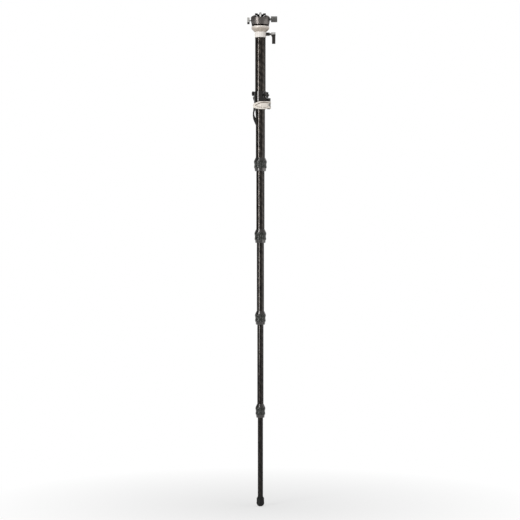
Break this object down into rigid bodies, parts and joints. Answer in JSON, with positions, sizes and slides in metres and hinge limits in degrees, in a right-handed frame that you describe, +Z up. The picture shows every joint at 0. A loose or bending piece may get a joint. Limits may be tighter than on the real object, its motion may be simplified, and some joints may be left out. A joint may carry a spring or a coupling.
{
  "type": "camera monopod",
  "caption": "Telescopic carbon-tube camera monopod with a flip lock, twist locks, a wrist strap and a levelling head whose clamp takes a sliding camera plate.",
  "frame": {"origin": "centre of the rubber foot's tip, on the ground", "axes": "+Z up the column, +X towards the clamp's knob, -Y towards the viewer of the picture; a row is stored standing straight up and fully extended"},
  "size_m": [0.0909, 0.0674, 1.4948],
  "materials": {
    "carbon_tube": "clear-coated carbon fibre weave",
    "nylon": "moulded nylon",
    "turned_aluminium": "turned",
    "gloss_collar": "gloss black anodised",
    "grip_rubber": "matte moulded",
    "foot_rubber": "semi-matte moulded",
    "black_casting": "satin black",
    "bright_lever": "satin silver",
    "steel": "turned and plated",
    "black_steel": "blackened steel",
    "webbing": "woven black webbing",
    "neck_silver": "bright turned",
    "bowl_silver": "satin champagne",
    "black_anodised": "satin black anodised",
    "hub_silver": "satin",
    "black_plastic": "moulded, fine grain",
    "knob_grey": "satin dark grey",
    "pad_rubber": "ribbed"
  },
  "bodies": {
    "top_section": {"section_1_tube": "carbon_tube", "flip_lock_collar": "black_casting", "flip_lock_liner": "nylon", "flip_lever_pin": "steel", "flip_lock_eye_bolt": "steel", "flip_lock_nuts": "black_steel", "collar_pinch_screw": "black_steel", "wrist_strap": "webbing", "head_neck": "neck_silver", "head_bowl": "bowl_silver", "ball_clamp_cap": "turned_aluminium", "ball_pull_rod": "steel", "ball_pull_block": "steel"},
    "flip_lever": {"flip_lever": "bright_lever"},
    "section_2": {"section_2_tube": "carbon_tube", "section_2_shims": "nylon", "lock_1_ferrule": "turned_aluminium", "lock_1_collet": "nylon"},
    "section_3": {"section_3_tube": "carbon_tube", "section_3_shims": "nylon", "lock_2_ferrule": "turned_aluminium", "lock_2_collet": "nylon"},
    "section_4": {"section_4_tube": "carbon_tube", "section_4_shims": "nylon", "lock_3_ferrule": "turned_aluminium", "lock_3_collet": "nylon"},
    "section_5": {"section_5_tube": "carbon_tube", "section_5_shims": "nylon", "lock_4_ferrule": "turned_aluminium", "lock_4_collet": "nylon"},
    "section_6": {"section_6_tube": "carbon_tube", "section_6_shims": "nylon", "foot_plug": "turned_aluminium", "rubber_foot": "foot_rubber"},
    "lock_1": {"lock_1_collar": "gloss_collar", "lock_1_sleeve": "grip_rubber"},
    "lock_2": {"lock_2_collar": "gloss_collar", "lock_2_sleeve": "grip_rubber"},
    "lock_3": {"lock_3_collar": "gloss_collar", "lock_3_sleeve": "grip_rubber"},
    "lock_4": {"lock_4_collar": "gloss_collar", "lock_4_sleeve": "grip_rubber"},
    "neck_lever": {"neck_lever_spindle": "black_steel", "neck_lever_hub": "hub_silver", "neck_lever_blade": "black_plastic"},
    "bowl_liner": {"bowl_liner": "nylon"},
    "levelling_ball": {"half_ball": "black_anodised", "pan_base": "black_anodised", "pan_screw": "steel"},
    "clamp": {"clamp_body": "black_anodised", "jaw_guides": "steel"},
    "jaw": {"moving_jaw": "black_anodised"},
    "knob": {"clamp_screw": "steel", "clamp_knob": "knob_grey"},
    "pan_lever": {"pan_lock_spindle": "steel", "pan_lever": "hub_silver", "pan_lever_tip": "black_plastic"},
    "plate": {"camera_plate": "black_anodised", "plate_pads": "pad_rubber"},
    "camera_screw": {"camera_screw": "steel"}
  },
  "joints": [
    {"name": "section_2_slide", "type": "slide", "parent": "top_section", "child": "section_2", "axis": [0, 0, 1], "range_m": [0, 0.1436]},
    {"name": "section_3_slide", "type": "slide", "parent": "section_2", "child": "section_3", "axis": [0, 0, 1], "range_m": [0, 0.1742]},
    {"name": "section_4_slide", "type": "slide", "parent": "section_3", "child": "section_4", "axis": [0, 0, 1], "range_m": [0, 0.2046]},
    {"name": "section_5_slide", "type": "slide", "parent": "section_4", "child": "section_5", "axis": [0, 0, 1], "range_m": [0, 0.2386]},
    {"name": "section_6_slide", "type": "slide", "parent": "section_5", "child": "section_6", "axis": [0, 0, 1], "range_m": [0, 0.2375]},
    {"name": "lock_1_turn", "type": "hinge", "parent": "section_2", "child": "lock_1", "pos_m": [0, 0, 1.0354], "axis": [0, 0, -1], "range_deg": [0, 120]},
    {"name": "lock_2_turn", "type": "hinge", "parent": "section_3", "child": "lock_2", "pos_m": [0, 0, 0.8182], "axis": [0, 0, -1], "range_deg": [0, 120]},
    {"name": "lock_3_turn", "type": "hinge", "parent": "section_4", "child": "lock_3", "pos_m": [0, 0, 0.5706], "axis": [0, 0, -1], "range_deg": [0, 120]},
    {"name": "lock_4_turn", "type": "hinge", "parent": "section_5", "child": "lock_4", "pos_m": [0, 0, 0.289], "axis": [0, 0, -1], "range_deg": [0, 120]},
    {"name": "flip_lever_turn", "type": "hinge", "parent": "top_section", "child": "flip_lever", "pos_m": [0.025, -0.009, 1.2145], "axis": [0, 0, 1], "range_deg": [0, 140]},
    {"name": "tilt_sideways", "type": "hinge", "parent": "top_section", "child": "bowl_liner", "pos_m": [0, 0, 1.458], "axis": [0, 1, 0], "range_deg": [-7, 7]},
    {"name": "tilt_forward", "type": "hinge", "parent": "bowl_liner", "child": "levelling_ball", "pos_m": [0, 0, 1.458], "axis": [1, 0, 0], "range_deg": [-7, 7]},
    {"name": "pan_turn", "type": "hinge", "parent": "levelling_ball", "child": "clamp", "pos_m": [0, 0, 1.4683], "axis": [0, 0, 1], "continuous": true},
    {"name": "neck_lever_turn", "type": "hinge", "parent": "top_section", "child": "neck_lever", "pos_m": [0.03, 0, 1.4303], "axis": [1, 0, 0], "range_deg": [-90, 90]},
    {"name": "pan_lever_turn", "type": "hinge", "parent": "clamp", "child": "pan_lever", "pos_m": [-0.036, 0, 1.4712], "axis": [1, 0, 0], "range_deg": [-60, 60]},
    {"name": "jaw_slide", "type": "slide", "parent": "clamp", "child": "jaw", "axis": [1, 0, 0], "range_m": [0, 0.003]},
    {"name": "knob_turn", "type": "hinge", "parent": "jaw", "child": "knob", "pos_m": [0.04, 0, 1.4755], "axis": [1, 0, 0], "range_deg": [0, 720]},
    {"name": "plate_slide", "type": "slide", "parent": "clamp", "child": "plate", "axis": [0, 1, 0], "range_m": [-0.012, 0.058]},
    {"name": "camera_screw_turn", "type": "hinge", "parent": "plate", "child": "camera_screw", "pos_m": [0, -0.008, 1.49], "axis": [0, 0, 1], "continuous": true}
  ],
  "couplings": [
    {"joint": "knob_turn", "follows": "jaw_slide", "rad_per_m": 4188.8}
  ]
}
